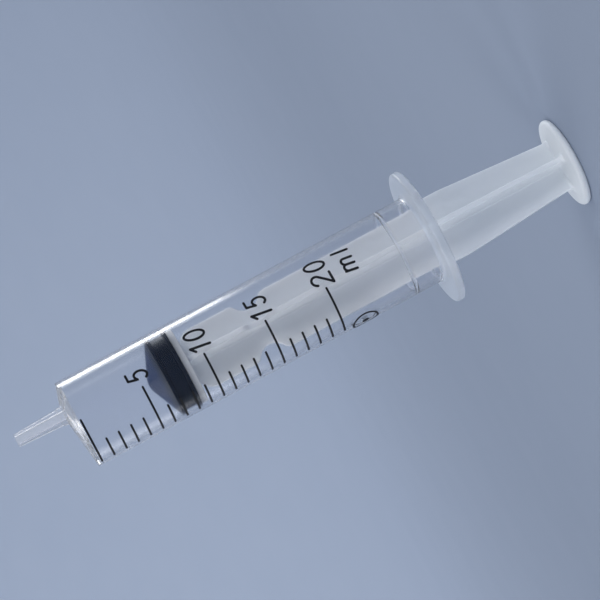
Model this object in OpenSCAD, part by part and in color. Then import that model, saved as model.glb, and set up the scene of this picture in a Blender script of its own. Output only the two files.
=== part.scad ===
// Three-piece oral syringe, 20 ml, standing on its thumb rest with the nozzle up.
// +Z runs along the syringe towards the nozzle, and the printed scale faces -Y.
// The origin is the centre of the thumb rest's flat back.
// Angles round the barrel are measured from -Y and grow towards +X.

/* [Barrel] */
// Inside diameter of the barrel; it also sets the distance between the ml marks
bore_d = 19.9; // [16:0.1:24]
// Thickness of the barrel's wall
barrel_wall = 1.0; // [0.8:0.05:1.4]
// Barrel behind the 20 ml line, up to the back of the finger flange
barrel_tail = 29.2; // [27:0.1:40]
// Thickness of the barrel's front end wall
end_wall = 0.9; // [0.7:0.05:1.2]
// How far the sloping shoulder rises above the barrel's front rim
shoulder_rise = 1.5; // [0.8:0.1:3]
// Radius on the front rim's outer corner
rim_round = 0.3; // [0.1:0.05:0.5]
// Bead inside the barrel that keeps the stopper in, measured from the flange's back
bead_from_back = 9.6; // [6:0.1:12]
// How far the bead stands out of the bore
bead_height = 0.25; // [0.15:0.05:0.35]
// Width of the bead along the barrel
bead_width = 1.2; // [0.8:0.1:2]

/* [Finger flange] */
// Diameter of the finger flange
flange_d = 34; // [29:0.5:44]
// Thickness of the finger flange
flange_t = 2.1; // [1.6:0.1:3]
// Radius on the flange's outer corners
flange_round = 0.6; // [0.2:0.1:0.7]
// Radius of the fillet where the flange meets the barrel
flange_fillet = 1.2; // [0.5:0.1:1.8]

/* [Nozzle] */
// Diameter of the collar at the nozzle's foot
collar_d = 4.5; // [4.3:0.1:5.4]
// Height of the collar's top above the front rim
collar_h = 2.6; // [2:0.1:4]
// Nozzle's outside diameter at the collar
nozzle_root_d = 4.1; // [3.6:0.1:4.2]
// Nozzle's outside diameter at the tip
nozzle_tip_d = 3.2; // [2.8:0.1:3.5]
// Length of the nozzle above its collar
nozzle_len = 11.3; // [8:0.1:15]
// Diameter of the channel through the nozzle
channel_d = 2.0; // [1.2:0.1:2.2]
// Gap between the collar and the rim of the barrel, at the side where they are closest
nozzle_edge_gap = 1.4; // [1:0.1:4]
// Side on which the nozzle stands, as an angle round the barrel
nozzle_side = 27; // [0:1:90]

/* [Stopper] */
// Length of the stopper between the outer edges of its two sealing ribs
seal_len = 5.15; // [4.7:0.05:8]
// Width of the front sealing rib
front_rib_w = 0.9; // [0.6:0.05:1.2]
// Width of the rear sealing rib
rear_rib_w = 0.8; // [0.6:0.05:1.2]
// Depth of the waist between the ribs
waist_depth = 0.85; // [0.4:0.05:1.2]
// Height of the stopper's conical nose
nose_h = 3.7; // [3.2:0.1:3.9]
// Slope of the nose, in degrees
nose_slope = 23.5; // [23:0.5:27]
// How far the nose starts in from the front rib
nose_step = 0.4; // [0.2:0.1:0.8]

/* [Plunger rod] */
// Thickness of the four ribs of the rod
rod_rib_t = 1.3; // [1:0.1:2]
// Gap between the bore and the rod's ribs, over the front of the rod
rod_slack = 2.4; // [1.6:0.1:3]
// Gap between the bore and the rod's ribs, at the widest place
rod_guide_slack = 1.4; // [0.8:0.1:1.5]
// Radius of the ribs' front corners
rod_corner_r = 4; // [1:0.5:5]
// Half width of the rod at the thumb rest
rod_end_r = 6.5; // [5:0.1:7]
// Thickness of the disc behind the stopper
disc_t = 1.6; // [1.2:0.1:2.5]
// Gap between the bore and that disc
disc_slack = 0.5; // [0.35:0.05:0.9]
// Depth of the notch in each rib
notch_depth = 2.75; // [1.5:0.05:3.2]
// Distance from the disc's back to the middle of the notch
notch_from_disc = 18.8; // [12:0.1:24]

/* [Snap head inside the stopper] */
// Diameter of the neck that passes into the stopper
neck_d = 6; // [4:0.1:7]
// Length of the neck
neck_len = 1.3; // [1:0.1:1.8]
// Diameter of the head
head_d = 10; // [8:0.1:12]
// Height of the head's straight edge
head_edge_h = 1.1; // [0.8:0.1:1.6]
// Height of the head's cone
head_cone_h = 1.4; // [1:0.1:1.8]

/* [Thumb rest] */
// Diameter of the thumb rest
thumb_d = 22.4; // [18.5:0.1:30]
// Thickness of the thumb rest at its edge
thumb_t = 1.9; // [1.6:0.1:3]
// How far the front of the thumb rest is crowned
thumb_crown = 0.7; // [0.3:0.1:1.5]
// Depth of the dish in its back
thumb_dish = 0.4; // [0.2:0.1:0.8]
// Room for the fingers between flange and thumb rest when the plunger stands at zero
finger_room = 14.1; // [10:0.1:25]

/* [Scale] */
// Volume that the plunger stands at
reading_ml = 6.72; // [2:0.01:19]
// Distance from the front rim back to the zero line
zero_gap = 1.3; // [1:0.1:3]
// Width of the printed lines
line_w = 0.52; // [0.3:0.02:0.7]
// Width of the pen strokes of the numerals and the unit
pen_w = 0.6; // [0.4:0.02:0.8]
// Thickness of the ink
ink_t = 0.06; // [0.04:0.01:0.1]
// Where all the lines start, as an angle round the barrel
lines_start = -68.7; // [-80:0.1:-50]
// Where the short lines end
short_end = -32.6; // [-50:0.1:-20]
// Where the long lines end
long_end = 2.75; // [-10:0.1:4]
// Height of the numerals
numeral_h = 4.8; // [4:0.1:6]
// Lean of the numerals, in degrees
numeral_lean = 9; // [0:1:15]

/* [Fits] */
// Radial clearance of the stopper's ribs in the bore
stopper_fit = 0.03; // [0.02:0.01:0.08]
// Clearance of the rod's head and neck in the stopper
head_fit = 0.05; // [0.03:0.01:0.09]

/* [Hidden] */
$fn = 96;

EPS = 0.05;
CAPACITY = 20;
LONG_EVERY = 5;
MM3_PER_ML = 1000;

bore_r = bore_d / 2;
barrel_r = bore_r + barrel_wall;
flange_r = flange_d / 2;
thumb_r = thumb_d / 2;
ml_pitch = MM3_PER_ML / (PI * bore_r * bore_r);
barrel_len = zero_gap + CAPACITY * ml_pitch + barrel_tail;

// Heights along the syringe
rim_z = thumb_t + finger_room + barrel_len + reading_ml * ml_pitch;
zero_z = rim_z - zero_gap;
flange_z = rim_z - barrel_len;
bead_z = flange_z + bead_from_back;
bore_end_z = rim_z - end_wall;
collar_z = rim_z + collar_h;
tip_z = collar_z + nozzle_len;
seal_front_z = zero_z - reading_ml * ml_pitch;
seal_back_z = seal_front_z - seal_len;
disc_front_z = seal_back_z - head_fit;
disc_back_z = disc_front_z - disc_t;
notch_z = disc_back_z - notch_from_disc;

// Nozzle's place
nozzle_offset = barrel_r - nozzle_edge_gap - collar_d / 2;

// Stopper
rib_r = bore_r - stopper_fit;
waist_r = bore_r - waist_depth;
nose_base_r = rib_r - nose_step;
nose_tip_r = (nose_base_r * tan(nose_slope) - nose_h) / (1 / cos(nose_slope) - 1);
nose_tangent_r = nose_tip_r * sin(nose_slope);
nose_tip_centre = nose_h - nose_tip_r;
RIB_ROUND = 0.2;

// Rod
rod_r = bore_r - rod_slack;
rod_wide_r = bore_r - rod_guide_slack;
disc_r = bore_r - disc_slack;
neck_r = neck_d / 2;
head_r = head_d / 2;
HEAD_TOP_R = 2.4;
DISC_ROUND = 0.3;
// Lengths of the rod's rear stretches, ahead of the thumb rest
TAPER_END = 2.4;
TAPER_START = 29.4;
WIDE_START = 33.4;
WIDE_RAMP = 38.4;
ROD_FLARE_R = 1.4;
NOTCH_FLOOR_R = 3.6;
NOTCH_SHOULDER_R = 2.2;

function polar(r, a) = [r * cos(a), r * sin(a)];

module round_about(angle, z = 0) {
  rotate([0, 0, angle]) translate([0, 0, z]) children();
}

// A corner of radius r to take off a square edge, with its point at the origin
module corner_cut(r) {
  translate([-r, -r]) difference() {
    square(r + EPS);
    circle(r);
  }
}

// A fillet of radius r to add in an inside corner at the origin
module corner_fill(r) {
  difference() {
    translate([-EPS, -EPS]) square(r + EPS);
    translate([r, r]) circle(r);
  }
}

// ---------------------------------------------------------------- barrel

module barrel_profile() {
  difference() {
    union() {
      translate([bore_r, flange_z]) square([barrel_wall, barrel_len]);
      translate([bore_r, flange_z]) difference() {
        square([flange_r - bore_r, flange_t]);
        translate([flange_r - bore_r, flange_t]) corner_cut(flange_round);
        translate([flange_r - bore_r, 0]) mirror([0, 1]) corner_cut(flange_round);
      }
      translate([barrel_r, flange_z + flange_t]) corner_fill(flange_fillet);
    }
    translate([barrel_r, rim_z]) corner_cut(rim_round);
    translate([bore_r, flange_z]) rotate(45) square(MOUTH_CHAMFER * sqrt(2), center = true);
  }
}
MOUTH_CHAMFER = 0.4;

module bead() {
  chord = bead_width / 2;
  bead_r = (chord * chord + bead_height * bead_height) / (2 * bead_height);
  rotate_extrude() intersection() {
    translate([bore_r - bead_height + bead_r, bead_z]) circle(bead_r);
    translate([bore_r - bead_height - EPS, bead_z - bead_width])
      square([bead_height + barrel_wall / 2, 2 * bead_width]);
  }
}

// A slanting cone from a circle on the axis to a smaller circle under the nozzle
module shoulder(base_r, base_z, top_r, top_z) {
  hull() {
    translate([0, 0, base_z]) cylinder(r = base_r, h = EPS, $fn = SHOULDER_STEPS);
    round_about(nozzle_side, top_z - EPS) translate([0, -nozzle_offset, 0])
      cylinder(r = top_r, h = EPS, $fn = SHOULDER_STEPS);
  }
}
SHOULDER_STEPS = 64;
// How far the shoulder starts in from the rim's round, and ends inside the collar
RIM_LAND = 0.15;
COLLAR_LAP = 0.2;

module nozzle_profile() {
  difference() {
    polygon([[0, bore_end_z + EPS], [collar_d / 2, bore_end_z + EPS],
             [collar_d / 2, collar_z - COLLAR_ROUND], [collar_d / 2 - COLLAR_ROUND, collar_z],
             [nozzle_root_d / 2, collar_z], [nozzle_tip_d / 2, tip_z], [0, tip_z]]);
    translate([nozzle_tip_d / 2, tip_z]) corner_cut(TIP_ROUND);
  }
}
COLLAR_ROUND = 0.15;
TIP_ROUND = 0.2;

module barrel() {
  color([0.80, 0.86, 0.93, 0.45]) difference() {
    union() {
      rotate_extrude() barrel_profile();
      bead();
      translate([0, 0, bore_end_z]) cylinder(r = bore_r + barrel_wall / 2, h = end_wall);
      shoulder(barrel_r - rim_round - RIM_LAND, rim_z - EPS, collar_d / 2 - COLLAR_LAP,
               rim_z + shoulder_rise);
      round_about(nozzle_side) translate([0, -nozzle_offset, 0])
        rotate_extrude() nozzle_profile();
    }
    shoulder(bore_r - EPS, bore_end_z - EPS, collar_d / 2 - end_wall,
             rim_z + shoulder_rise - end_wall);
    round_about(nozzle_side) translate([0, -nozzle_offset, bore_end_z])
      cylinder(d = channel_d, h = tip_z - bore_end_z + EPS);
  }
}

// ---------------------------------------------------------------- stopper

module stopper_profile() {
  difference() {
    union() {
      square([waist_r, seal_len]);
      difference() {
        square([rib_r, rear_rib_w]);
        translate([rib_r, rear_rib_w]) corner_cut(RIB_ROUND);
        translate([rib_r, 0]) mirror([0, 1]) corner_cut(RIB_ROUND);
      }
      translate([0, seal_len - front_rib_w]) difference() {
        square([rib_r, front_rib_w]);
        translate([rib_r, front_rib_w]) corner_cut(RIB_ROUND);
        translate([rib_r, 0]) mirror([0, 1]) corner_cut(RIB_ROUND);
      }
      translate([0, seal_len]) nose_profile();
    }
    head_pocket_profile();
  }
}

module nose_profile() {
  tangent_z = nose_tip_centre + nose_tip_r * cos(nose_slope);
  polygon([[0, -EPS], [nose_base_r, -EPS], [nose_base_r, 0],
           [nose_tangent_r, tangent_z], [0, tangent_z]]);
  intersection() {
    translate([0, nose_tip_centre]) circle(nose_tip_r);
    translate([0, tangent_z - EPS]) square([nose_tangent_r, nose_h]);
  }
}

module head_pocket_profile() {
  head_z = neck_len - head_fit;
  edge_top = head_z + head_edge_h + 2 * head_fit;
  translate([0, -EPS]) square([neck_r + head_fit, head_z + 2 * EPS]);
  polygon([[0, head_z], [head_r + head_fit, head_z], [head_r + head_fit, edge_top],
           [HEAD_TOP_R + head_fit, edge_top + head_cone_h], [0, edge_top + head_cone_h]]);
}

module stopper() {
  color([0.07, 0.10, 0.16]) translate([0, 0, seal_back_z]) rotate_extrude() stopper_profile();
}

// ---------------------------------------------------------------- plunger rod

module notch_shape() {
  above = NOTCH_FLOOR_R - notch_depth;
  reach = sqrt(pow(NOTCH_FLOOR_R + NOTCH_SHOULDER_R, 2) - pow(above + NOTCH_SHOULDER_R, 2));
  translate([above, 0]) circle(NOTCH_FLOOR_R);
  difference() {
    polygon([[-NOTCH_SHOULDER_R, -reach], [above, 0], [-NOTCH_SHOULDER_R, reach],
             [notch_depth, reach], [notch_depth, -reach]]);
    for (side = [-1, 1])
      translate([-NOTCH_SHOULDER_R, side * reach]) circle(NOTCH_SHOULDER_R);
  }
}

module rib_half_outline() {
  difference() {
    union() {
      polygon([[-EPS, disc_back_z + EPS], [rod_r, disc_back_z + EPS], [rod_r, thumb_t + WIDE_RAMP],
               [rod_wide_r, thumb_t + WIDE_START], [rod_wide_r, thumb_t + TAPER_START],
               [rod_end_r, thumb_t + TAPER_END], [rod_end_r, thumb_t / 2], [-EPS, thumb_t / 2]]);
      translate([rod_end_r, thumb_t]) corner_fill(ROD_FLARE_R);
    }
    translate([rod_r, disc_back_z]) corner_cut(rod_corner_r);
    translate([rod_r, notch_z]) notch_shape();
  }
}

module rib_plate() {
  rotate([90, 0, 0]) translate([0, 0, -rod_rib_t / 2]) linear_extrude(rod_rib_t) {
    rib_half_outline();
    mirror([1, 0]) rib_half_outline();
  }
}

module thumb_rest_profile() {
  edge_r = thumb_t / 2;
  difference() {
    union() {
      square([thumb_r - edge_r, thumb_t]);
      translate([thumb_r - edge_r, edge_r]) circle(edge_r);
      polygon([[0, thumb_t - EPS], [thumb_r - edge_r, thumb_t - EPS], [thumb_r - edge_r, thumb_t],
               [rod_end_r * CROWN_SHARE, thumb_t + thumb_crown], [0, thumb_t + thumb_crown]]);
    }
    polygon([[0, -EPS], [thumb_r - DISH_RIM, -EPS], [thumb_r - DISH_RIM - thumb_dish, thumb_dish],
             [0, thumb_dish]]);
  }
}
CROWN_SHARE = 0.55;
DISH_RIM = 2.4;

module rod_front_profile() {
  difference() {
    translate([0, disc_back_z]) square([disc_r, disc_t]);
    translate([disc_r, disc_front_z]) corner_cut(DISC_ROUND);
    translate([disc_r, disc_back_z]) mirror([0, 1]) corner_cut(DISC_ROUND);
  }
  head_z = seal_back_z + neck_len;
  translate([0, disc_front_z - EPS]) square([neck_r, head_z - disc_front_z + 2 * EPS]);
  polygon([[0, head_z], [head_r, head_z], [head_r, head_z + head_edge_h],
           [HEAD_TOP_R, head_z + head_edge_h + head_cone_h],
           [0, head_z + head_edge_h + head_cone_h]]);
}

module plunger_rod() {
  color([0.86, 0.90, 0.94, 0.9]) union() {
    rotate_extrude() rod_front_profile();
    rotate_extrude() thumb_rest_profile();
    for (turn = [0, 90]) rotate([0, 0, ROD_TURN + turn]) rib_plate();
  }
}
ROD_TURN = 10.4;

// ---------------------------------------------------------------- printed scale

// A line's round ends are a little narrower than the line, so that no faces only touch
CAP_SHARE = 0.94;

module ink_skin(z_low, z_high) {
  rotate_extrude() translate([barrel_r, z_low]) square([ink_t, z_high - z_low]);
}

// A line printed round the barrel, with round ends
module scale_line(z, end_angle) {
  intersection() {
    ink_skin(z - line_w, z + line_w);
    union() {
      rotate_extrude(angle = end_angle - lines_start, start = lines_start - 90)
        translate([barrel_r - EPS, z - line_w / 2]) square([barrel_wall, line_w]);
      for (a = [lines_start, end_angle])
        round_about(a, z) rotate([90, 0, 0]) translate([0, 0, barrel_r - barrel_wall])
          cylinder(d = CAP_SHARE * line_w, h = 2 * barrel_wall);
    }
  }
}

module scale_lines_long() {
  color([0.05, 0.05, 0.06]) for (ml = [0 : LONG_EVERY : CAPACITY])
    scale_line(zero_z - ml * ml_pitch, long_end);
}

module scale_lines_short() {
  color([0.05, 0.05, 0.06]) for (ml = [1 : CAPACITY - 1])
    if (ml % LONG_EVERY != 0) scale_line(zero_z - ml * ml_pitch, short_end);
}

// Points on an oval, from one angle to another
function oval(centre, rx, ry, from, to, steps) =
  [for (i = [0 : steps]) let (a = from + (to - from) * i / steps)
    centre + [rx * cos(a), ry * sin(a)]];

function leaned(p) = [p[0] + p[1] * tan(numeral_lean), p[1]];

function side_dir(path, i) =
  let (a = path[max(i - 1, 0)], b = path[min(i + 1, len(path) - 1)], d = (b - a) / norm(b - a))
    [-d[1], d[0]];

function heading(path, i) = let (d = path[i + 1] - path[i]) atan2(d[1], d[0]);

// Half a turn round a stroke's end, clockwise from an angle
function round_end(centre, from) =
  [for (i = [1 : END_STEPS - 1]) centre + polar(pen_w / 2, from - 180 * i / END_STEPS)];

// A pen stroke along a path, with round ends
module stroke(raw_path) {
  path = [for (p = raw_path) leaned(p)];
  last = len(path) - 1;
  half = pen_w / 2;
  polygon(concat([for (i = [0 : last]) path[i] + half * side_dir(path, i)],
                 round_end(path[last], heading(path, last - 1) + 90),
                 [for (i = [last : -1 : 0]) path[i] - half * side_dir(path, i)],
                 round_end(path[0], heading(path, 0) - 90)));
}
END_STEPS = 8;

module closed_stroke(raw_path) {
  path = [for (p = raw_path) leaned(p)];
  n = len(path);
  sides = [for (i = [0 : n - 1]) let (d = path[(i + 1) % n] - path[(i + n - 1) % n])
    [d[1], -d[0]] / norm(d)];
  difference() {
    polygon([for (i = [0 : n - 1]) path[i] + pen_w / 2 * sides[i]]);
    polygon([for (i = [0 : n - 1]) path[i] - pen_w / 2 * sides[i]]);
  }
}

// Numerals stand centred on the origin, numeral_h tall
DIGIT_STEPS = 14;
OVAL_STEPS = 32;

module digit_0() {
  h = numeral_h / 2;
  all = oval([0, 0], 0.5 * h, h, 0, 360, OVAL_STEPS);
  closed_stroke([for (i = [0 : OVAL_STEPS - 1]) all[i]]);
}

module digit_1() {
  h = numeral_h / 2;
  stroke([[0.1 * h, -h], [0.1 * h, h]]);
  stroke([[0.1 * h, h], [-0.3 * h, 0.6 * h]]);
}

module digit_2() {
  h = numeral_h / 2;
  foot = [-0.55 * h, -h];
  stroke(concat(oval([0, 0.5 * h], 0.48 * h, 0.5 * h, 170, -25, DIGIT_STEPS), [foot]));
  stroke([foot, [0.55 * h, -h]]);
}

module digit_5() {
  h = numeral_h / 2;
  waist = [-0.38 * h, 0.08 * h];
  stroke([[0.36 * h, h], [-0.3 * h, h]]);
  stroke([[-0.3 * h, h], waist]);
  stroke(concat([waist], oval([-0.02 * h, -0.36 * h], 0.46 * h, 0.64 * h, 115, -140, DIGIT_STEPS)));
}

module letter_m() {
  x_h = numeral_h * LETTER_SHARE;
  arch_w = 0.58 * x_h;
  arch_r = arch_w / 2;
  stroke([[-arch_w, 0], [-arch_w, x_h]]);
  for (i = [0, 1])
    stroke(concat(oval([(i - 0.5) * arch_w, x_h - arch_r], arch_r, arch_r, 180, 0, DIGIT_STEPS),
                  [[i * arch_w, 0]]));
}
LETTER_SHARE = 0.58;

module letter_l() {
  stroke([[0, 0], [0, numeral_h * 0.8]]);
}

// Prints a flat shape on the barrel, its middle at an angle and a height
module printed(angle, z) {
  reach = numeral_h;
  intersection() {
    ink_skin(z - reach, z + reach);
    round_about(angle, z) translate([0, barrel_wall - barrel_r, 0]) rotate([90, 0, 0])
      linear_extrude(2 * barrel_wall) children();
  }
}

module numeral(ml) {
  z = zero_z - ml * ml_pitch;
  color([0.05, 0.05, 0.06]) {
    if (ml == 5) printed(SINGLE_ANGLE, z) digit_5();
    if (ml == 10 || ml == 15) printed(TENS_ANGLE, z) digit_1();
    if (ml == 20) printed(TENS_ANGLE + TWO_SHIFT, z) digit_2();
    if (ml == 10) printed(UNITS_ANGLE, z) digit_0();
    if (ml == 15) printed(UNITS_ANGLE, z) digit_5();
    if (ml == 20) printed(UNITS_ANGLE + 2 * TWO_SHIFT, z) digit_0();
  }
}
SINGLE_ANGLE = 18;
TENS_ANGLE = 12;
UNITS_ANGLE = 30;
TWO_SHIFT = 2.5;

module numeral_5() { numeral(5); }
module numeral_10() { numeral(10); }
module numeral_15() { numeral(15); }
module numeral_20() { numeral(20); }

module unit_mark() {
  z = zero_z - CAPACITY * ml_pitch - UNIT_BELOW;
  color([0.05, 0.05, 0.06]) {
    printed(UNIT_M_ANGLE, z) letter_m();
    printed(UNIT_L_ANGLE, z) letter_l();
  }
}
UNIT_BELOW = 8.7;
UNIT_M_ANGLE = 15;
UNIT_L_ANGLE = 35;

// A plain ring with a dot, low on the barrel beside the last line
module ring_mark() {
  z = zero_z - CAPACITY * ml_pitch - RING_BELOW;
  color([0.05, 0.05, 0.06]) printed(RING_ANGLE, z) {
    difference() {
      circle(RING_R);
      circle(RING_R - line_w);
    }
    circle(DOT_R);
  }
}
RING_BELOW = 5.5;
RING_ANGLE = -72;
RING_R = 3.5;
DOT_R = 0.9;

barrel();
stopper();
plunger_rod();
scale_lines_long();
scale_lines_short();
numeral_5();
numeral_10();
numeral_15();
numeral_20();
unit_mark();
ring_mark();
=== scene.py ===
"""A 20 ml oral syringe standing on its thumb rest, dressed and lit for a studio picture.

The clear barrel, the rubber stopper and the milky plunger rod are modelled here as
fine meshes that stand for their frame nodes. The printed scale keeps its frame nodes
and takes an ink finish. Sizes are in millimetres until a mesh is made. Angles round
the barrel are measured from -Y and grow towards +X.
"""

import logging
import math
from dataclasses import dataclass, field
from enum import Enum

import bmesh
import bpy
from mathutils import Matrix, Vector


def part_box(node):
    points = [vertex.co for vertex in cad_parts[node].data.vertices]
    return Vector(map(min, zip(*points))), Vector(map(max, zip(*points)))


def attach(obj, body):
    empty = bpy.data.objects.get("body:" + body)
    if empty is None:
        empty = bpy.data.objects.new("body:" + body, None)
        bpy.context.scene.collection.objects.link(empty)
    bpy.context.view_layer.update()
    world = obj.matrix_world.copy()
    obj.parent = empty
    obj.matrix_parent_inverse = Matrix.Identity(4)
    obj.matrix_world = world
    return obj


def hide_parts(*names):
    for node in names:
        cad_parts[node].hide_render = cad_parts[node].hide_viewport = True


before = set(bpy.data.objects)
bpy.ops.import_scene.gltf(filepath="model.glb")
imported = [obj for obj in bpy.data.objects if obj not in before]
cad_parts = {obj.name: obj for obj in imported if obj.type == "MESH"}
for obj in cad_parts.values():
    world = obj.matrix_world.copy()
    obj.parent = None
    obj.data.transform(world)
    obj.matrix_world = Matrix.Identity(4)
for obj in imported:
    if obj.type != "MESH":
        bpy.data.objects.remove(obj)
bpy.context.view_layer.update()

MM = 0.001
SHARP_ANGLE = 32.0
LOG = logging.getLogger("oral_syringe")

Colour = tuple[float, float, float]
Outline = list[Vector]
Span = tuple[float, float]


class Body(Enum):
    """The moving bodies of the syringe."""

    BARREL = "barrel"
    STOPPER = "stopper"
    PLUNGER = "plunger"


class Slot(Enum):
    """The material slots of the record."""

    CLEAR = "clear_plastic"
    MILKY = "milky_plastic"
    RUBBER = "stopper_rubber"
    INK = "ink"


# ------------------------------------------------------------------ finishes


@dataclass(frozen=True)
class Grain:
    """The fine relief of a skin."""

    scale: float
    detail: float
    height: float
    strength: float


class NodeTree:
    """A material's node tree with short calls for the nodes that the finishes share."""

    VALUE_SPAN: Span = (0.3, 0.7)
    COLOUR_SPAN: Span = (0.35, 0.65)

    def __init__(self, name: str) -> None:
        """Make an empty material with an output and a Principled shader.

        Args:
            name: The material's name.
        """
        self.material = bpy.data.materials.new(name)
        self.material.use_nodes = True
        self.nodes = self.material.node_tree.nodes
        self.links = self.material.node_tree.links
        self.nodes.clear()
        self.output = self.nodes.new("ShaderNodeOutputMaterial")
        self.shader = self.nodes.new("ShaderNodeBsdfPrincipled")
        self.links.new(self.shader.outputs[0], self.output.inputs["Surface"])
        self.place = self.nodes.new("ShaderNodeTexCoord").outputs["Object"]

    def set(self, **values: float | Colour) -> None:
        """Set plain values on the Principled shader's own sockets.

        Args:
            values: Socket names, with underscores for spaces, and their values.
        """
        for name, value in values.items():
            socket = self.shader.inputs[name.replace("_", " ")]
            filled = name.endswith(("Color", "Tint"))
            socket.default_value = (*value, 1.0) if filled else value

    def noise(self, scale: float, detail: float = 2.0, stretch: Colour = (1.0, 1.0, 1.0)
              ) -> bpy.types.NodeSocket:
        """Add a noise pattern fixed to the object.

        Args:
            scale: Grains per metre.
            detail: Octaves of finer grain.
            stretch: How the pattern is scaled along X, Y and Z.

        Returns:
            The noise's value output.
        """
        mapping = self.nodes.new("ShaderNodeMapping")
        mapping.inputs["Scale"].default_value = stretch
        self.links.new(self.place, mapping.inputs["Vector"])
        node = self.nodes.new("ShaderNodeTexNoise")
        node.inputs["Scale"].default_value = scale
        node.inputs["Detail"].default_value = detail
        self.links.new(mapping.outputs[0], node.inputs["Vector"])
        return node.outputs[0]

    def vary(self, socket: str, source: bpy.types.NodeSocket, limits: Span) -> None:
        """Let a pattern move one of the shader's values between two limits.

        Args:
            socket: The shader's input.
            source: The pattern, from 0 to 1.
            limits: The values where the pattern is low and where it is high.
        """
        spread = self.nodes.new("ShaderNodeMapRange")
        spread.inputs["From Min"].default_value = self.VALUE_SPAN[0]
        spread.inputs["From Max"].default_value = self.VALUE_SPAN[1]
        spread.inputs["To Min"].default_value = limits[0]
        spread.inputs["To Max"].default_value = limits[1]
        self.links.new(source, spread.inputs["Value"])
        self.links.new(spread.outputs[0], self.shader.inputs[socket])

    def tint(self, source: bpy.types.NodeSocket, low: Colour, high: Colour) -> None:
        """Let a pattern move the base colour between two colours.

        Args:
            source: The pattern, from 0 to 1.
            low: The colour where the pattern is low.
            high: The colour where the pattern is high.
        """
        ramp = self.nodes.new("ShaderNodeValToRGB")
        for stop, place, colour in zip(ramp.color_ramp.elements, self.COLOUR_SPAN, (low, high)):
            stop.position, stop.color = place, (*colour, 1.0)
        self.links.new(source, ramp.inputs["Fac"])
        self.links.new(ramp.outputs["Color"], self.shader.inputs["Base Color"])

    def paint_light_and_shade_along_z(self, shade: Colour, start: float, end: float, blend: str) -> None:
        """Paint light and shade into the base colour towards one end of the piece.

        Args:
            shade: The colour of the painted light and shade that the base colour is mixed with at
                that end.
            start: The height in metres where the change starts.
            end: The height where it is full.
            blend: How the two colours are mixed.
        """
        split = self.nodes.new("ShaderNodeSeparateXYZ")
        self.links.new(self.place, split.inputs[0])
        rise = self.nodes.new("ShaderNodeMapRange")
        rise.inputs["From Min"].default_value = start
        rise.inputs["From Max"].default_value = end
        self.links.new(split.outputs["Z"], rise.inputs["Value"])
        mix = self.nodes.new("ShaderNodeMix")
        mix.data_type, mix.blend_type = "RGBA", blend
        base = self.shader.inputs["Base Color"].links[0].from_socket
        self.links.new(rise.outputs[0], mix.inputs["Factor"])
        self.links.new(base, mix.inputs["A"])
        mix.inputs["B"].default_value = (*shade, 1.0)
        self.links.new(mix.outputs["Result"], self.shader.inputs["Base Color"])

    def bump(self, grain: Grain) -> None:
        """Raise the surface by a fine grain.

        Args:
            grain: The relief, with its scale per metre and its height in metres.
        """
        source = self.noise(grain.scale, grain.detail)
        node = self.nodes.new("ShaderNodeBump")
        node.inputs["Distance"].default_value = grain.height
        node.inputs["Strength"].default_value = grain.strength
        self.links.new(source, node.inputs["Height"])
        self.links.new(node.outputs[0], self.shader.inputs["Normal"])


@dataclass(frozen=True)
class ClearPlastic:
    """Clear moulded polypropylene, as thin and clear as on the tube or milkier where thick."""

    name: str = "clear_polypropylene"
    tint: Colour = (0.985, 0.985, 1.0)
    shade_tint: Colour = (1.0, 0.995, 1.0)
    clearness: float = 0.997
    roughness: float = 0.12
    bend: float = 1.36
    veil: float = 0.15
    veil_roughness: float = 0.35
    veil_tint: Colour = (0.80, 0.90, 1.0)
    clouds: float = 90.0
    cloud_stretch: Colour = (1.0, 1.0, 0.25)
    cloud_lift: float = 1.03

    def make(self) -> bpy.types.Material:
        """Build the material.

        Returns:
            Clear plastic that lets lamps light what is inside it.
        """
        tree = NodeTree(self.name)
        tree.set(Transmission_Weight=self.clearness, IOR=self.bend, Roughness=self.roughness,
                 Sheen_Weight=self.veil, Sheen_Roughness=self.veil_roughness,
                 Sheen_Tint=self.veil_tint)
        haze = tree.noise(self.clouds, 3.0, self.cloud_stretch)
        tree.tint(haze, self.tint, tuple(min(1.0, c * self.cloud_lift) for c in self.tint))
        through = tree.nodes.new("ShaderNodeBsdfTransparent")
        through.inputs["Color"].default_value = (*self.shade_tint, 1.0)
        path = tree.nodes.new("ShaderNodeLightPath")
        mix = tree.nodes.new("ShaderNodeMixShader")
        tree.links.new(path.outputs["Is Shadow Ray"], mix.inputs[0])
        tree.links.new(tree.shader.outputs[0], mix.inputs[1])
        tree.links.new(through.outputs[0], mix.inputs[2])
        tree.links.new(mix.outputs[0], tree.output.inputs["Surface"])
        return tree.material


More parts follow.
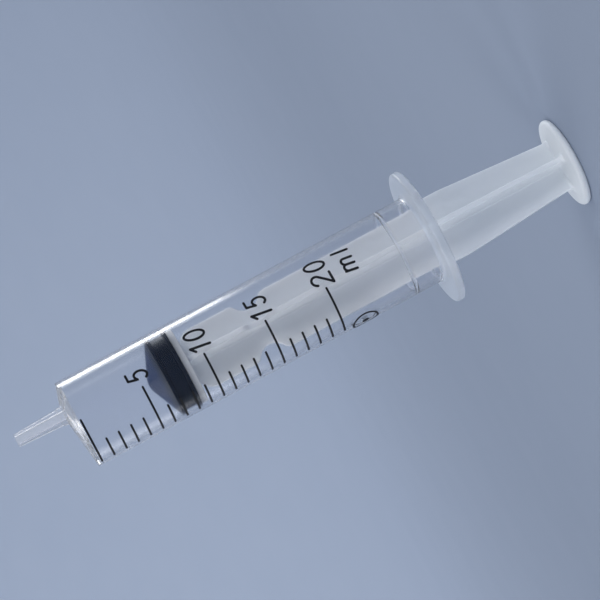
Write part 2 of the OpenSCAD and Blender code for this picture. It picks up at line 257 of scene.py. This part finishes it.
@dataclass(frozen=True)
class MilkyPlastic:
    """Milky polyethylene with a satin skin that light soaks into, as on the rod, with painted shade
    on its front disc.
    """

    thin_colour: Colour = (0.80, 0.835, 0.865)
    thick_colour: Colour = (0.83, 0.86, 0.89)
    # painted shade: between these two heights in metres the base colour is multiplied down to this
    # grey, darkening the front disc and the head beyond it next to the stopper
    painted_shade_colour: Colour = (0.52, 0.53, 0.55)
    painted_shade_from: float = 0.1022
    painted_shade_to: float = 0.1040
    soak: float = 0.7
    depth: float = 0.0016
    bend: float = 1.51
    roughness: Span = (0.44, 0.54)
    clouds: float = 140.0
    cloud_stretch: Colour = (1.0, 1.0, 0.4)
    patches: float = 900.0
    grain: Grain = Grain(2600.0, 2.0, 0.000012, 0.35)

    def make(self) -> bpy.types.Material:
        """Build the material.

        Returns:
            Milky plastic with a little cloudiness, a fine satin grain and painted shade on its front
            disc.
        """
        tree = NodeTree("milky_polyethylene")
        haze = tree.noise(self.clouds, 3.0, self.cloud_stretch)
        tree.tint(haze, self.thin_colour, self.thick_colour)
        # painted shade: darken the rod from its front disc to the stopper
        tree.paint_light_and_shade_along_z(self.painted_shade_colour, self.painted_shade_from, self.painted_shade_to, "MULTIPLY")
        tree.set(Subsurface_Weight=self.soak, Subsurface_Scale=self.depth,
                 Subsurface_Radius=(1.0, 1.0, 1.0), IOR=self.bend)
        tree.shader.subsurface_method = "BURLEY"
        tree.vary("Roughness", tree.noise(self.patches), self.roughness)
        tree.bump(self.grain)
        return tree.material


@dataclass(frozen=True)
class StopperRubber:
    """Near-black rubber with a siliconed satin skin, as on the stopper, with a painted bluish
    reflection on its nose.
    """

    low_colour: Colour = (0.003, 0.006, 0.015)
    high_colour: Colour = (0.005, 0.009, 0.022)
    # painted reflection: between these two heights in metres the base colour turns to this lighter
    # blue, standing in for the bright surroundings mirrored in the nose
    painted_reflection_colour: Colour = (0.014, 0.034, 0.105)
    painted_reflection_from: float = 0.1096
    painted_reflection_to: float = 0.1108
    bend: float = 1.40
    gloss: float = 0.2
    gloss_tint: Colour = (0.55, 0.72, 1.0)
    sheen: float = 0.04
    sheen_roughness: float = 0.5
    sheen_tint: Colour = (0.35, 0.50, 0.85)
    roughness: Span = (0.34, 0.46)
    clouds: float = 500.0
    patches: float = 1500.0
    grain: Grain = Grain(3200.0, 3.0, 0.000015, 0.4)

    def make(self) -> bpy.types.Material:
        """Build the material.

        Returns:
            Dark rubber with a soft bluish sheen and a painted bluish reflection on its nose.
        """
        tree = NodeTree("siliconed_rubber")
        tree.tint(tree.noise(self.clouds, 3.0), self.low_colour, self.high_colour)
        # painted reflection: lighten the nose to blue
        tree.paint_light_and_shade_along_z(self.painted_reflection_colour, self.painted_reflection_from, self.painted_reflection_to, "MIX")
        tree.set(IOR=self.bend, Specular_IOR_Level=self.gloss, Specular_Tint=self.gloss_tint,
                 Sheen_Weight=self.sheen, Sheen_Roughness=self.sheen_roughness,
                 Sheen_Tint=self.sheen_tint)
        tree.vary("Roughness", tree.noise(self.patches), self.roughness)
        tree.bump(self.grain)
        return tree.material


@dataclass(frozen=True)
class PrintInk:
    """Black screen-printing ink with a slight grain."""

    low_colour: Colour = (0.004, 0.004, 0.005)
    high_colour: Colour = (0.014, 0.013, 0.013)
    roughness: Span = (0.45, 0.65)
    clouds: float = 4000.0
    patches: float = 2500.0
    grain: Grain = Grain(5000.0, 2.0, 0.000006, 0.3)

    def make(self) -> bpy.types.Material:
        """Build the material.

        Returns:
            A dry black print.
        """
        tree = NodeTree("printed_ink")
        tree.tint(tree.noise(self.clouds, 3.0), self.low_colour, self.high_colour)
        tree.vary("Roughness", tree.noise(self.patches), self.roughness)
        tree.bump(self.grain)
        return tree.material


@dataclass(frozen=True)
class StudioPaint:
    """The pale, blue-grey matt paint of the studio's floor."""

    low_colour: Colour = (0.305, 0.360, 0.465)
    high_colour: Colour = (0.317, 0.372, 0.477)
    roughness: Span = (0.8, 0.9)
    clouds: float = 1.5
    patches: float = 30.0

    def make(self) -> bpy.types.Material:
        """Build the material.

        Returns:
            Matt paint with barely visible clouding.
        """
        tree = NodeTree("studio_paint")
        tree.tint(tree.noise(self.clouds), self.low_colour, self.high_colour)
        tree.vary("Roughness", tree.noise(self.patches), self.roughness)
        return tree.material


# ------------------------------------------------------------------ meshes


@dataclass(frozen=True)
class Ring:
    """A circle round the syringe's axis, or moved part of the way to the nozzle's."""

    radius: float
    height: float
    share: float = 0.0


def arc(centre: tuple[float, float], radius: float, start: float, end: float, steps: int
        ) -> list[tuple[float, float]]:
    """List the points of a circular arc in a profile.

    Args:
        centre: The arc's centre, as radius and height.
        radius: The arc's radius.
        start: The first point's angle in degrees, from the outward direction upwards.
        end: The last point's angle.
        steps: How many pieces the arc is cut into.

    Returns:
        The points, ends included.
    """
    angles = [math.radians(start + (end - start) * i / steps) for i in range(steps + 1)]
    return [(centre[0] + radius * math.cos(a), centre[1] + radius * math.sin(a)) for a in angles]


def circle_outline(ring: Ring, segments: int, offset: Vector) -> Outline:
    """List the points of a ring, or its one point where its radius is zero.

    Args:
        ring: The ring.
        segments: How many points a full circle has.
        offset: Where the nozzle's axis stands.

    Returns:
        The ring's points in metres.
    """
    centre = Vector((0.0, 0.0, ring.height)) + offset * ring.share
    if ring.radius == 0:
        return [centre * MM]
    turns = [2 * math.pi * i / segments for i in range(segments)]
    return [(centre + ring.radius * Vector((math.cos(t), math.sin(t), 0.0))) * MM for t in turns]


def loft(shell: bmesh.types.BMesh, outlines: list[Outline], closed: bool = False) -> None:
    """Skin a row of outlines, and close its ends if they are open.

    Args:
        shell: The mesh that takes the faces.
        outlines: The outlines in order, each with as many points or with one.
        closed: Whether the last outline joins the first.
    """
    rows = [[shell.verts.new(p) for p in outline] for outline in outlines]
    pairs = list(zip(rows, rows[1:] + rows[:1]))[: None if closed else -1]
    for low, high in pairs:
        count = max(len(low), len(high))
        for i in range(count):
            j = (i + 1) % count
            corners = [low[i % len(low)], low[j % len(low)], high[j % len(high)], high[i % len(high)]]
            shell.faces.new(list(dict.fromkeys(corners)))
    if not closed:
        for row, turn in ((rows[0], -1), (rows[-1], 1)):
            if len(row) > 1:
                shell.faces.new(row[::turn])


def piece_from(shell: bmesh.types.BMesh, name: str) -> bpy.types.Object:
    """Turn a finished mesh into an object with smooth shading and even normals.

    Args:
        shell: The mesh, which is freed.
        name: The piece's name.

    Returns:
        The new object.
    """
    bmesh.ops.recalc_face_normals(shell, faces=shell.faces)
    mesh = bpy.data.meshes.new(name)
    shell.to_mesh(mesh)
    shell.free()
    mesh.shade_smooth()
    mesh.set_sharp_from_angle(angle=math.radians(SHARP_ANGLE))
    piece = bpy.data.objects.new(name, mesh)
    bpy.context.scene.collection.objects.link(piece)
    even = piece.modifiers.new("even_normals", "WEIGHTED_NORMAL")
    even.keep_sharp = True
    return piece


def hand_over(piece: bpy.types.Object, body: Body, slot: Slot, node: str,
              *finishes: bpy.types.Material) -> None:
    """Give a piece its finishes and its body, and hide the frame node that it stands for.

    Args:
        piece: The piece.
        body: The body it moves with.
        slot: The record's material slot; not used.
        node: The frame node that it stands for.
        finishes: Its materials, the main one first.
    """
    for finish in finishes:
        piece.data.materials.append(finish)
    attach(piece, body.value)
    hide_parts(node)
    LOG.info("%s: %d faces", piece.name, len(piece.data.polygons))


# ------------------------------------------------------------------ the syringe


class BarrelFinish(Enum):
    """The places of the barrel's finishes among its materials."""

    THIN = 0
    THICK = 1
    NOSE = 2


@dataclass
class Barrel:
    """The clear moulding: tube, finger flange, slanting shoulder, collar and nozzle."""

    bore_r: float = 9.95
    wall: float = 1.0
    end_wall: float = 0.9
    rim_round: float = 0.3
    shoulder_land: float = 0.15
    shoulder_rise: float = 1.5
    flange_r: float = 17.0
    flange_t: float = 2.1
    flange_round: float = 0.6
    flange_fillet: float = 1.2
    bead_from_back: float = 9.6
    bead_height: float = 0.25
    bead_width: float = 1.2
    mouth_chamfer: float = 0.4
    nozzle_len: float = 11.3
    collar_r: float = 2.25
    collar_h: float = 2.6
    collar_round: float = 0.15
    root_r: float = 2.05
    tip_r: float = 1.6
    tip_round: float = 0.2
    channel_r: float = 1.0
    channel_lip: float = 0.1
    nozzle_offset: float = 7.3
    nozzle_side: float = 27.0
    bead_margin: float = 0.01
    nose_margin: float = 0.1
    segments: int = 192
    back: float = field(init=False)
    tip: float = field(init=False)

    def __post_init__(self) -> None:
        """Read the barrel's two ends from the frame."""
        low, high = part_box("barrel")
        self.back, self.tip = low.z / MM, high.z / MM

    @property
    def outer_r(self) -> float:
        """The tube's outside radius."""
        return self.bore_r + self.wall

    @property
    def rim(self) -> float:
        """The height of the front rim."""
        return self.tip - self.nozzle_len - self.collar_h

    @property
    def nozzle_axis(self) -> Vector:
        """Where the nozzle's axis stands."""
        side = math.radians(self.nozzle_side)
        return self.nozzle_offset * Vector((math.sin(side), -math.cos(side), 0.0))

    def flange_rings(self) -> list[Ring]:
        """List the rings from the mouth's chamfer round the flange to its fillet."""
        edge_r, front = self.flange_r - self.flange_round, self.back + self.flange_t
        fillet_r = self.outer_r + self.flange_fillet
        points = [(self.bore_r, self.back + self.mouth_chamfer),
                  (self.bore_r + self.mouth_chamfer, self.back)]
        points += arc((edge_r, self.back + self.flange_round), self.flange_round, -90, 0, 6)
        points += arc((edge_r, front - self.flange_round), self.flange_round, 0, 90, 6)
        points += arc((fillet_r, front + self.flange_fillet), self.flange_fillet, 270, 180, 10)
        return [Ring(r, z) for r, z in points]

    def front_rings(self) -> list[Ring]:
        """List the rings from the rim's round over the shoulder to the collar."""
        points = arc((self.outer_r - self.rim_round, self.rim - self.rim_round),
                     self.rim_round, 0, 90, 5)
        rings = [Ring(r, z) for r, z in points]
        foot = Ring(self.outer_r - self.rim_round - self.shoulder_land, self.rim)
        head = Ring(self.collar_r, self.rim + self.shoulder_rise, 1.0)
        return rings + self.slope(foot, head, 16)

    @staticmethod
    def slope(start: Ring, end: Ring, steps: int) -> list[Ring]:
        """List the rings of a slanting cone.

        Args:
            start: The first ring.
            end: The last ring.
            steps: How many pieces the cone is cut into.

        Returns:
            The rings, ends included.
        """
        shares = [i / steps for i in range(steps + 1)]
        return [Ring(start.radius + (end.radius - start.radius) * s,
                     start.height + (end.height - start.height) * s,
                     start.share + (end.share - start.share) * s) for s in shares]

    def nozzle_rings(self) -> list[Ring]:
        """List the rings of the collar, the taper, the tip and the channel."""
        collar_top = self.rim + self.collar_h
        lip = self.channel_lip
        points = arc((self.collar_r - self.collar_round, collar_top - self.collar_round),
                     self.collar_round, 0, 90, 4)
        points += [(self.root_r, collar_top)]
        points += arc((self.tip_r - self.tip_round, self.tip - self.tip_round),
                      self.tip_round, 4, 90, 5)
        points += arc((self.channel_r + lip, self.tip - lip), lip, 90, 180, 4)
        return [Ring(r, z, 1.0) for r, z in points]

    def inside_rings(self) -> list[Ring]:
        """List the rings of the inner shoulder, the bore and its bead, back to the mouth."""
        top = self.rim + self.shoulder_rise - self.end_wall
        inner_head = Ring(self.collar_r - self.end_wall, top, 1.0)
        inner_foot = Ring(self.bore_r, self.rim - self.end_wall, 0.0)
        chord = self.bead_width / 2
        bead_r = (chord ** 2 + self.bead_height ** 2) / (2 * self.bead_height)
        half = math.degrees(math.asin(chord / bead_r))
        bead = arc((self.bore_r - self.bead_height + bead_r, self.back + self.bead_from_back),
                   bead_r, 180 - half, 180 + half, 10)
        return [Ring(self.channel_r, top, 1.0), *self.slope(inner_head, inner_foot, 16),
                *[Ring(r, z) for r, z in bead]]

    def sort_faces(self, shell: bmesh.types.BMesh) -> None:
        """Give the flange, the bead's crest and the nose their own finishes.

        Args:
            shell: The barrel's mesh.
        """
        flange_top = self.back + self.flange_t + self.flange_fillet / 2
        nose_back = self.rim - self.end_wall - self.nose_margin
        bead, crest = self.back + self.bead_from_back, self.bead_width / 4
        for face in shell.faces:
            middle = face.calc_center_median() / MM
            reach = middle.xy.length
            in_bead = reach < self.bore_r - self.bead_margin and abs(middle.z - bead) < crest
            if in_bead or middle.z < flange_top and reach > self.bore_r:
                face.material_index = BarrelFinish.THICK.value
            elif middle.z > nose_back:
                face.material_index = BarrelFinish.NOSE.value

    def build(self, thin: bpy.types.Material, thick: bpy.types.Material,
              nose: bpy.types.Material) -> None:
        """Make the barrel's closed shell and hand it over.

        Args:
            thin: The clear plastic of the walls.
            thick: The milkier plastic of the flange and the bead's crest.
            nose: The slightly frosted plastic of the shoulder and the nozzle.
        """
        shell = bmesh.new()
        rings = (self.flange_rings() + self.front_rings() + self.nozzle_rings()
                 + self.inside_rings())
        loft(shell, [circle_outline(r, self.segments, self.nozzle_axis) for r in rings], True)
        self.sort_faces(shell)
        hand_over(piece_from(shell, "clear_barrel"), Body.BARREL, Slot.CLEAR, "barrel",
                  thin, thick, nose)


@dataclass
class Stopper:
    """The rubber stopper: two sealing ribs, a waist, a conical nose and a snap pocket."""

    bore_r: float = 9.95
    fit: float = 0.03
    seal_len: float = 5.15
    front_rib_w: float = 0.9
    rear_rib_w: float = 0.8
    waist_depth: float = 0.85
    rib_round: float = 0.22
    waist_fillet: float = 0.3
    nose_h: float = 3.7
    nose_slope: float = 23.5
    nose_step: float = 0.4
    neck_r: float = 3.05
    pocket_r: float = 5.05
    pocket_low: float = 1.25
    pocket_edge: float = 2.45
    pocket_top_r: float = 2.45
    pocket_top: float = 3.85
    segments: int = 160
    back: float = field(init=False)

    def __post_init__(self) -> None:
        """Read the stopper's back from the frame."""
        self.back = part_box("stopper")[0].z / MM

    def rib(self, low: float, high: float) -> list[tuple[float, float]]:
        """List the outer points of one sealing rib.

        Args:
            low: The height of its back face.
            high: The height of its front face.

        Returns:
            The points from the back face to the front face.
        """
        r, rr = self.bore_r - self.fit, self.rib_round
        return [*arc((r - rr, low + rr), rr, -90, 0, 6), *arc((r - rr, high - rr), rr, 0, 90, 6)]

    def profile(self) -> list[tuple[float, float]]:
        """List the profile's points, from the pocket's roof round to the nose's tip."""
        waist_r, fil = self.bore_r - self.waist_depth, self.waist_fillet
        front_low = self.seal_len - self.front_rib_w
        base_r = self.bore_r - self.fit - self.nose_step
        slope = math.radians(self.nose_slope)
        tip_r = (base_r * math.tan(slope) - self.nose_h) / (1 / math.cos(slope) - 1)
        tip_centre = self.seal_len + self.nose_h - tip_r
        points = [(0.0, self.pocket_top), (self.pocket_top_r, self.pocket_top),
                  (self.pocket_r, self.pocket_edge), (self.pocket_r, self.pocket_low),
                  (self.neck_r, self.pocket_low), (self.neck_r, 0.0)]
        points += self.rib(0.0, self.rear_rib_w)
        points += arc((waist_r + fil, self.rear_rib_w + fil), fil, 270, 180, 5)
        points += arc((waist_r + fil, front_low - fil), fil, 180, 90, 5)
        points += self.rib(front_low, self.seal_len)
        points += [(base_r, self.seal_len)]
        points += arc((0.0, tip_centre), tip_r, 90 - self.nose_slope, 90, 12)
        return points

    def build(self, finish: bpy.types.Material) -> None:
        """Make the stopper and hand it over.

        Args:
            finish: The rubber.
        """
        shell = bmesh.new()
        points = [(0.0 if r < 1e-6 else r, z + self.back) for r, z in self.profile()]
        loft(shell, [circle_outline(Ring(r, z), self.segments, Vector()) for r, z in points])
        hand_over(piece_from(shell, "rubber_stopper"), Body.STOPPER, Slot.RUBBER,
                  "stopper", finish)


@dataclass
class PlungerRod:
    """The milky moulding: four crossed ribs, a front disc with its snap head, a thumb rest."""

    rib_t: float = 1.3
    rib_edge: float = 0.28
    rib_fillet: float = 0.45
    foot_fillet: float = 1.0
    turn: float = 10.4
    front_r: float = 7.55
    wide_r: float = 8.55
    end_r: float = 6.5
    corner_r: float = 4.0
    flare_r: float = 1.4
    taper_end: float = 2.4
    taper_start: float = 29.4
    wide_start: float = 33.4
    wide_ramp: float = 38.4
    notch_depth: float = 2.75
    notch_floor: float = 3.6
    notch_shoulder: float = 2.2
    notch_from_disc: float = 18.8
    disc_r: float = 9.45
    disc_t: float = 1.6
    disc_round: float = 0.3
    disc_gap: float = 0.05
    neck_r: float = 3.0
    head_r: float = 5.0
    head_low: float = 1.3
    head_edge: float = 2.4
    head_top_r: float = 2.4
    head_top: float = 3.8
    thumb_r: float = 11.2
    thumb_t: float = 1.9
    crown: float = 0.7
    crown_r: float = 3.575
    dish_rim: float = 2.4
    dish_depth: float = 0.4
    bend_marks: tuple[float, ...] = (-0.8, -0.3, 0.3, 0.8)
    notch_steps: int = 28
    sink_thumb: float = 0.1
    sink_disc: float = 0.4
    segments: int = 160
    seat: float = field(init=False)

    def __post_init__(self) -> None:
        """Read where the stopper sits on the rod from the frame."""
        self.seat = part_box("stopper")[0].z / MM

    @property
    def foot(self) -> float:
        """The height at which the ribs run out on the crown of the thumb rest."""
        return self.thumb_t + self.crown / 2

    @property
    def disc_back(self) -> float:
        """The height of the front disc's back face."""
        return self.seat - self.disc_gap - self.disc_t

    def straight_reach(self, z: float) -> float:
        """Find how far a rib would reach with no corner, notch or flare.

        Args:
            z: The height on the rod.

        Returns:
            The reach from the axis.
        """
        stops = [(0.0, self.end_r), (self.taper_end, self.end_r), (self.taper_start, self.wide_r),
                 (self.wide_start, self.wide_r), (self.wide_ramp, self.front_r)]
        up = z - self.thumb_t
        for (low, low_r), (high, high_r) in zip(stops, stops[1:]):
            if up <= high:
                return low_r + (high_r - low_r) * max(0.0, up - low) / (high - low)
        return self.front_r

    def notch_cut(self, away: float) -> float:
        """Find how deep the notch is at a distance from its middle.

        Args:
            away: The distance from the notch's middle.

        Returns:
            The depth below the rib's edge, zero outside the notch.
        """
        above = self.notch_floor - self.notch_depth
        reach = math.sqrt((self.notch_floor + self.notch_shoulder) ** 2
                          - (above + self.notch_shoulder) ** 2)
        if away >= reach:
            return 0.0
        meet = reach * self.notch_floor / (self.notch_floor + self.notch_shoulder)
        if away <= meet:
            return math.sqrt(self.notch_floor ** 2 - away ** 2) - above
        return self.notch_shoulder - math.sqrt(self.notch_shoulder ** 2 - (reach - away) ** 2)

    def reach(self, z: float) -> float:
        """Find how far the ribs reach at a height.

        Args:
            z: The height on the rod.

        Returns:
            The reach from the axis.
        """
        reach = self.straight_reach(z)
        reach -= self.notch_cut(abs(z - self.disc_back + self.notch_from_disc))
        into_corner = z - (self.disc_back - self.corner_r)
        if into_corner > 0:
            drop = math.sqrt(max(0.0, self.corner_r ** 2 - into_corner ** 2))
            reach -= self.corner_r - drop
        into_flare = self.thumb_t + self.flare_r - z
        if into_flare > 0:
            drop = math.sqrt(max(0.0, self.flare_r ** 2 - min(into_flare, self.flare_r) ** 2))
            reach += self.flare_r - drop
        return reach

    def half_thickness(self, z: float) -> float:
        """Find half the ribs' thickness, which swells into the disc and the thumb rest.

        Args:
            z: The height on the rod.

        Returns:
            Half the thickness.
        """
        away = max(0.0, min(z - self.foot, self.disc_back - z))
        inside = max(0.0, self.foot_fillet - away)
        swell = self.foot_fillet - math.sqrt(self.foot_fillet ** 2 - inside ** 2)
        return self.rib_t / 2 + swell

    def heights(self) -> list[float]:
        """List the heights at which the ribs' outline is drawn."""
        notch = self.disc_back - self.notch_from_disc
        span = self.notch_floor + self.notch_shoulder
        corner = self.disc_back - self.corner_r
        bends = [self.taper_end, self.taper_start, self.wide_start, self.wide_ramp]
        marks = [self.thumb_t + b + d for b in bends for d in self.bend_marks]
        marks += [self.thumb_t + self.flare_r * (1 - math.cos(math.radians(a)))
                  for a in range(0, 91, 10)]
        marks += [notch + span * i / self.notch_steps
                  for i in range(-self.notch_steps, self.notch_steps + 1)]
        marks += [corner + self.corner_r * math.sin(math.radians(a)) for a in range(0, 91, 6)]
        swell = [self.foot_fillet * (1 - math.cos(math.radians(a))) for a in range(0, 91, 15)]
        marks += [self.foot + s for s in swell] + [self.disc_back - s for s in swell]
        marks += [self.thumb_t - self.sink_thumb, self.disc_back + self.sink_disc]
        return sorted({round(m, 4) for m in marks})

    def cross_outline(self, z: float) -> Outline:
        """List the points of the cross-shaped section at a height.

        Args:
            z: The height on the rod.

        Returns:
            The outline in metres, with rounded rib edges and filleted corners.
        """
        w, h = self.reach(min(z, self.disc_back)), self.half_thickness(z)
        e, f = self.rib_edge, self.rib_fillet
        quarter = [(h + f, -h), *arc((w - e, -h + e), e, -90, 0, 4),
                   *arc((w - e, h - e), e, 0, 90, 4), *arc((h + f, h + f), f, 270, 180, 5)[:-1]]
        outline = []
        for k in range(4):
            spin = Matrix.Rotation(math.radians(self.turn + 90 * k), 3, "Z")
            outline += [spin @ Vector((u, v, z)) * MM for u, v in quarter]
        return outline

    def front_profile(self) -> list[tuple[float, float]]:
        """List the profile of the front disc, the neck and the snap head."""
        low, high, rr = self.disc_back, self.disc_back + self.disc_t, self.disc_round
        return [(0.0, low), *arc((self.disc_r - rr, low + rr), rr, -90, 0, 6),
                *arc((self.disc_r - rr, high - rr), rr, 0, 90, 6), (self.neck_r, high),
                (self.neck_r, self.seat + self.head_low),
                (self.head_r, self.seat + self.head_low),
                (self.head_r, self.seat + self.head_edge),
                (self.head_top_r, self.seat + self.head_top), (0.0, self.seat + self.head_top)]

    def thumb_profile(self) -> list[tuple[float, float]]:
        """List the profile of the crowned, dished thumb rest."""
        edge_r = self.thumb_t / 2
        flat_r = self.thumb_r - edge_r
        dish_r = self.thumb_r - self.dish_rim
        return [(0.0, self.dish_depth), (dish_r - self.dish_depth, self.dish_depth),
                (dish_r, 0.0), *arc((flat_r, edge_r), edge_r, -90, 90, 16),
                (self.crown_r, self.thumb_t + self.crown), (0.0, self.thumb_t + self.crown)]

    def build(self, finish: bpy.types.Material) -> None:
        """Make the rod and hand it over.

        Args:
            finish: The milky plastic.
        """
        shell = bmesh.new()
        loft(shell, [self.cross_outline(z) for z in self.heights()])
        for profile in (self.front_profile(), self.thumb_profile()):
            loft(shell, [circle_outline(Ring(r, z), self.segments, Vector()) for r, z in profile])
        hand_over(piece_from(shell, "milky_plunger_rod"), Body.PLUNGER, Slot.MILKY,
                  "plunger_rod", finish)


@dataclass
class PrintedScale:
    """The print on the barrel: lines, numerals, unit and the plain ring mark."""

    nodes: tuple[str, ...] = ("scale_lines_long", "scale_lines_short", "numeral_5", "numeral_10",
                              "numeral_15", "numeral_20", "unit_mark", "ring_mark")

    def dress(self, finish: bpy.types.Material) -> None:
        """Give each printed node its ink.

        Args:
            finish: The ink.
        """
        for node in self.nodes:
            for slot in bpy.data.objects[node].material_slots:
                slot.material = finish
            LOG.info("%s: inked", node)


# ------------------------------------------------------------------ the studio


@dataclass
class Softbox:
    """A rectangular studio light."""

    name: str
    place: Vector
    aim: Vector
    width: float
    height: float
    watts: float
    spread: float = 180.0
    mirrored: bool = True

    def build(self) -> None:
        """Hang the light. The camera doesn't see it; the plastic mirrors it if that is asked."""
        data = bpy.data.lights.new(self.name, "AREA")
        data.shape = "RECTANGLE"
        data.size, data.size_y = self.width, self.height
        data.energy = self.watts
        data.spread = math.radians(self.spread)
        light = bpy.data.objects.new(self.name, data)
        light.location = self.place
        light.rotation_euler = (self.aim - self.place).to_track_quat("-Z", "Y").to_euler()
        light.visible_camera = False
        light.visible_glossy = light.visible_transmission = self.mirrored
        bpy.context.scene.collection.objects.link(light)


@dataclass
class Studio:
    """A round, seamless paper bowl, an even sky and the softboxes."""

    flat_r: float = 0.75
    bend_r: float = 0.65
    wall_top: float = 1.1
    bend_steps: int = 24
    sky: Colour = (0.90, 0.94, 1.0)
    sky_strength: float = 0.66
    segments: int = 128
    bounces: int = 28
    brightest_bounce: float = 2.0
    lights: list[Softbox] = field(default_factory=lambda: [
        Softbox("edge_light", Vector((0.47, 0.40, 0.165)), Vector((0.0, 0.0, 0.11)),
                0.20, 0.25, 0.10, 50.0),
        Softbox("key_light", Vector((0.60, -0.50, 0.26)), Vector((0.0, 0.0, 0.07)),
                0.40, 0.40, 0.29, 60.0, False),
        Softbox("fill_light", Vector((-0.55, -0.55, 0.18)), Vector((0.0, 0.0, 0.07)),
                0.45, 0.45, 0.27, 60.0, False),
        Softbox("rim_light", Vector((-0.55, 0.06, 0.25)), Vector((0.0, 0.0, 0.09)),
                0.15, 0.40, 0.05, 60.0),
        Softbox("floor_light", Vector((-0.4, 1.0, 1.3)), Vector((-0.2, 1.3, 0.0)),
                0.8, 0.8, 5.5, 120.0),
    ])

    def lay_floor(self, paint: bpy.types.Material) -> None:
        """Make the bowl.

        Args:
            paint: The floor's finish.
        """
        shell = bmesh.new()
        bend = arc((self.flat_r, self.bend_r), self.bend_r, -90, 0, self.bend_steps)
        profile = [(0.0, 0.0), *bend, (self.flat_r + self.bend_r, self.wall_top)]
        rows = [circle_outline(Ring(r / MM, z / MM), self.segments, Vector()) for r, z in profile]
        loft(shell, rows)
        shell.faces.ensure_lookup_table()
        bmesh.ops.delete(shell, geom=[shell.faces[-1]], context="FACES_ONLY")
        bmesh.ops.recalc_face_normals(shell, faces=shell.faces)
        mesh = bpy.data.meshes.new("studio_floor")
        shell.to_mesh(mesh)
        shell.free()
        mesh.shade_smooth()
        floor = bpy.data.objects.new("studio_floor", mesh)
        bpy.context.scene.collection.objects.link(floor)
        mesh.materials.append(paint)

    def light_sky(self) -> None:
        """Make the even sky and set how far its light travels."""
        world = bpy.data.worlds.new("studio_sky")
        world.use_nodes = True
        background = world.node_tree.nodes["Background"]
        background.inputs["Color"].default_value = (*self.sky, 1.0)
        background.inputs["Strength"].default_value = self.sky_strength
        bpy.context.scene.world = world
        bpy.context.scene.view_settings.view_transform = "Standard"
        cycles = bpy.context.scene.cycles
        cycles.max_bounces = cycles.transmission_bounces = self.bounces
        cycles.sample_clamp_indirect = self.brightest_bounce

    def build(self, paint: bpy.types.Material) -> None:
        """Make the bowl, the sky and the lights.

        Args:
            paint: The floor's finish.
        """
        self.lay_floor(paint)
        self.light_sky()
        for light in self.lights:
            light.build()


@dataclass
class ViewCamera:
    """The picture's camera, which looks level across the syringe and is rolled."""

    place: Vector = field(default_factory=lambda: Vector((0.0, -609.17, 135.46)))
    aim: Vector = field(default_factory=lambda: Vector((0.995, 0.0, 72.40)))
    roll: float = 118.277
    lens: float = 156.0
    sensor: float = 36.0
    near: float = 0.01
    far: float = 20.0

    def build(self) -> None:
        """Make the camera and set it as the scene's own."""
        data = bpy.data.cameras.new("view_camera")
        data.lens, data.sensor_width = self.lens, self.sensor
        data.clip_start, data.clip_end = self.near, self.far
        camera = bpy.data.objects.new("view_camera", data)
        back = (self.place - self.aim).normalized()
        level_up = (Vector((0.0, 0.0, 1.0)) - back.z * back).normalized()
        level_right = level_up.cross(back)
        lean = math.radians(self.roll)
        up = math.cos(lean) * level_up + math.sin(lean) * level_right
        right = up.cross(back)
        turn = Matrix((right, up, back)).transposed()
        camera.matrix_world = Matrix.LocRotScale(self.place * MM, turn, None)
        bpy.context.scene.collection.objects.link(camera)
        bpy.context.scene.camera = camera


def main() -> None:
    """Build the camera, the syringe and the studio in order."""
    logging.basicConfig(level=logging.INFO, format="%(name)s: %(message)s")
    ViewCamera().build()
    thick = ClearPlastic("thick_polypropylene", clearness=0.72, roughness=0.3,
                         tint=(0.80, 0.85, 0.92))
    nose = ClearPlastic("frosted_polypropylene", clearness=0.90, roughness=0.26, bend=1.20)
    Barrel().build(ClearPlastic().make(), thick.make(), nose.make())
    Stopper().build(StopperRubber().make())
    PlungerRod().build(MilkyPlastic().make())
    PrintedScale().dress(PrintInk().make())
    Studio().build(StudioPaint().make())


if __name__ == "__main__":
    main()
